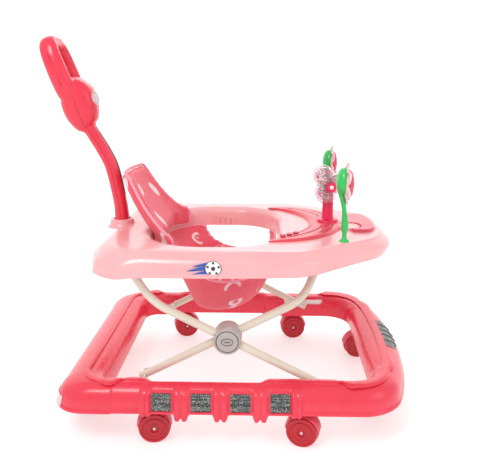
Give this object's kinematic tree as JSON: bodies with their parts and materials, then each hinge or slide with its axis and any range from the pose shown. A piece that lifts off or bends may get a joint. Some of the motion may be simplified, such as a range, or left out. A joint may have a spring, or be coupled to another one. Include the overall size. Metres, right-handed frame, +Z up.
{
  "type": "baby walker",
  "caption": "Folding baby walker: castered base ring, crossed tube frame, toy tray with hanging fabric seat and a rear push handle.",
  "frame": {"origin": "on the floor, under the middle of the object's box, which is also under the frame's hubs", "axes": "+X forwards, towards the toys; +Y to the child's left; +Z up"},
  "size_m": [0.744, 0.554, 0.765],
  "materials": {
    "base_red": "glossy moulded polypropylene",
    "handle_red": "glossy moulded polypropylene",
    "hood_pink": "satin moulded plastic",
    "wheel_red": "satin moulded plastic",
    "tray_pink": "glossy moulded polypropylene",
    "panel_red": "glossy moulded plastic",
    "tube_cream": "powder coated steel tube",
    "hub_grey": "satin moulded plastic",
    "zinc": "zinc plated steel",
    "mesh_grey": "speckled decorative mesh",
    "grille_grey": "printed grey film",
    "reflector": "pale glossy plastic",
    "seat_fabric": "printed woven polyester over thin foam",
    "clip_pink": "moulded plastic",
    "button_pink": "moulded plastic",
    "green": "glossy moulded plastic",
    "petal_pink": "glossy moulded plastic",
    "magenta": "glossy moulded plastic",
    "clear": "clear moulded plastic",
    "beads": "coloured beads",
    "emblem_white": "pale glossy plastic",
    "strip_dark": "soft dark inlay",
    "black_plastic": "moulded plastic"
  },
  "bodies": {
    "base": {"base_shell": "base_red", "side_grilles": "mesh_grey", "front_grille": "grille_grey", "rear_grilles": "grille_grey", "rear_reflectors": "reflector", "caster_pins": "zinc", "rear_pivot_bolts": "zinc"},
    "front_frame": {"front_frame_tube": "tube_cream", "hub_inner_shells": "hub_grey", "hub_rivets": "zinc"},
    "rear_frame": {"rear_frame_tube": "tube_cream", "hub_caps": "hub_grey", "slider_bolts": "zinc"},
    "tray": {"tray_shell": "tray_pink", "toy_panel": "panel_red", "front_panel": "panel_red", "rear_tube_clamps": "hub_grey", "front_tube_guides": "hub_grey", "sound_module": "black_plastic", "battery_cover": "handle_red", "handle_front_shell": "handle_red", "handle_rear_shell": "handle_red", "handle_emblem": "emblem_white", "handle_strip": "strip_dark", "seat_back": "seat_fabric", "seat_sling": "seat_fabric", "seat_clips": "clip_pink", "flower_stems": "green", "rattle_stand": "magenta"},
    "hood_1": {"caster_hood_1": "hood_pink"},
    "wheels_1": {"caster_wheels_1": "wheel_red"},
    "hood_2": {"caster_hood_2": "hood_pink"},
    "wheels_2": {"caster_wheels_2": "wheel_red"},
    "hood_3": {"caster_hood_3": "hood_pink"},
    "wheels_3": {"caster_wheels_3": "wheel_red"},
    "hood_4": {"caster_hood_4": "hood_pink"},
    "wheels_4": {"caster_wheels_4": "wheel_red"},
    "hood_5": {"caster_hood_5": "hood_pink"},
    "wheels_5": {"caster_wheels_5": "wheel_red"},
    "hood_6": {"caster_hood_6": "hood_pink"},
    "wheels_6": {"caster_wheels_6": "wheel_red"},
    "hood_7": {"caster_hood_7": "hood_pink"},
    "wheels_7": {"caster_wheels_7": "wheel_red"},
    "hood_8": {"caster_hood_8": "hood_pink"},
    "wheels_8": {"caster_wheels_8": "wheel_red"},
    "button_1": {"button_1": "button_pink"},
    "button_2": {"button_2": "button_pink"},
    "button_3": {"button_3": "button_pink"},
    "flower_right": {"flower_petals_right": "petal_pink", "flower_centre_right": "panel_red"},
    "flower_left": {"flower_petals_left": "petal_pink", "flower_centre_left": "panel_red"},
    "rattle": {"rattle_shell": "clear", "rattle_beads": "beads"}
  },
  "joints": [
    {"name": "fold", "type": "hinge", "parent": "base", "child": "front_frame", "pos_m": [-0.164, 0, 0.107], "axis": [0, 1, 0], "range_deg": [-9, 24]},
    {"name": "hub_turn", "type": "hinge", "parent": "front_frame", "child": "rear_frame", "pos_m": [0, 0, 0.19194], "axis": [0, 1, 0], "range_deg": [-48.5, 18.5]},
    {"name": "tray_level", "type": "hinge", "parent": "rear_frame", "child": "tray", "pos_m": [-0.19, 0, 0.345], "axis": [0, 1, 0], "range_deg": [-9.5, 24.5]},
    {"name": "swivel_1", "type": "hinge", "parent": "base", "child": "hood_1", "pos_m": [-0.16, -0.243, 0.06], "axis": [0, 0, 1], "continuous": true},
    {"name": "roll_1", "type": "hinge", "parent": "hood_1", "child": "wheels_1", "pos_m": [-0.14019, -0.24022, 0.03], "axis": [-0.1392, 0.9903, 0], "continuous": true},
    {"name": "swivel_2", "type": "hinge", "parent": "base", "child": "hood_2", "pos_m": [0.126, -0.243, 0.06], "axis": [0, 0, 1], "continuous": true},
    {"name": "roll_2", "type": "hinge", "parent": "hood_2", "child": "wheels_2", "pos_m": [0.14541, -0.24784, 0.03], "axis": [0.2419, 0.9703, 0], "continuous": true},
    {"name": "swivel_3", "type": "hinge", "parent": "base", "child": "hood_3", "pos_m": [-0.16, 0.243, 0.06], "axis": [0, 0, 1], "continuous": true},
    {"name": "roll_3", "type": "hinge", "parent": "hood_3", "child": "wheels_3", "pos_m": [-0.14044, 0.24716, 0.03], "axis": [-0.2079, 0.9781, 0], "continuous": true},
    {"name": "swivel_4", "type": "hinge", "parent": "base", "child": "hood_4", "pos_m": [0.126, 0.243, 0.06], "axis": [0, 0, 1], "continuous": true},
    {"name": "roll_4", "type": "hinge", "parent": "hood_4", "child": "wheels_4", "pos_m": [0.14592, 0.24474, 0.03], "axis": [-0.0872, 0.9962, 0], "continuous": true},
    {"name": "swivel_5", "type": "hinge", "parent": "base", "child": "hood_5", "pos_m": [0.32, -0.137, 0.06], "axis": [0, 0, 1], "continuous": true},
    {"name": "roll_5", "type": "hinge", "parent": "hood_5", "child": "wheels_5", "pos_m": [0.30044, -0.13284, 0.03], "axis": [-0.2079, -0.9781, 0], "continuous": true},
    {"name": "swivel_6", "type": "hinge", "parent": "base", "child": "hood_6", "pos_m": [0.32, 0.137, 0.06], "axis": [0, 0, 1], "continuous": true},
    {"name": "roll_6", "type": "hinge", "parent": "hood_6", "child": "wheels_6", "pos_m": [0.30011, 0.13491, 0.03], "axis": [0.1045, -0.9945, 0], "continuous": true},
    {"name": "swivel_7", "type": "hinge", "parent": "base", "child": "hood_7", "pos_m": [-0.284, -0.137, 0.06], "axis": [0, 0, 1], "continuous": true},
    {"name": "roll_7", "type": "hinge", "parent": "hood_7", "child": "wheels_7", "pos_m": [-0.30395, -0.1356, 0.03], "axis": [-0.0698, -0.9976, 0], "continuous": true},
    {"name": "swivel_8", "type": "hinge", "parent": "base", "child": "hood_8", "pos_m": [-0.284, 0.137, 0.06], "axis": [0, 0, 1], "continuous": true},
    {"name": "roll_8", "type": "hinge", "parent": "hood_8", "child": "wheels_8", "pos_m": [-0.3037, 0.13353, 0.03], "axis": [0.1736, -0.9848, 0], "continuous": true},
    {"name": "press_1", "type": "slide", "parent": "tray", "child": "button_1", "axis": [0, 0, 1], "range_m": [-0.003, 0], "stiffness_N_per_m": 200, "springref_m": 0.001},
    {"name": "press_2", "type": "slide", "parent": "tray", "child": "button_2", "axis": [0, 0, 1], "range_m": [-0.003, 0], "stiffness_N_per_m": 200, "springref_m": 0.001},
    {"name": "press_3", "type": "slide", "parent": "tray", "child": "button_3", "axis": [0, 0, 1], "range_m": [-0.003, 0], "stiffness_N_per_m": 200, "springref_m": 0.001},
    {"name": "flower_right_spin", "type": "hinge", "parent": "tray", "child": "flower_right", "pos_m": [0.232, -0.142, 0.484], "axis": [1, 0, 0], "continuous": true},
    {"name": "flower_left_spin", "type": "hinge", "parent": "tray", "child": "flower_left", "pos_m": [0.232, 0.142, 0.484], "axis": [1, 0, 0], "continuous": true},
    {"name": "rattle_spin", "type": "hinge", "parent": "tray", "child": "rattle", "pos_m": [0.205, 0, 0.46], "axis": [0, 1, 0], "continuous": true}
  ],
  "couplings": [
    {"joint": "hub_turn", "follows": "fold", "ratio": -2},
    {"joint": "tray_level", "follows": "fold", "ratio": 1}
  ]
}
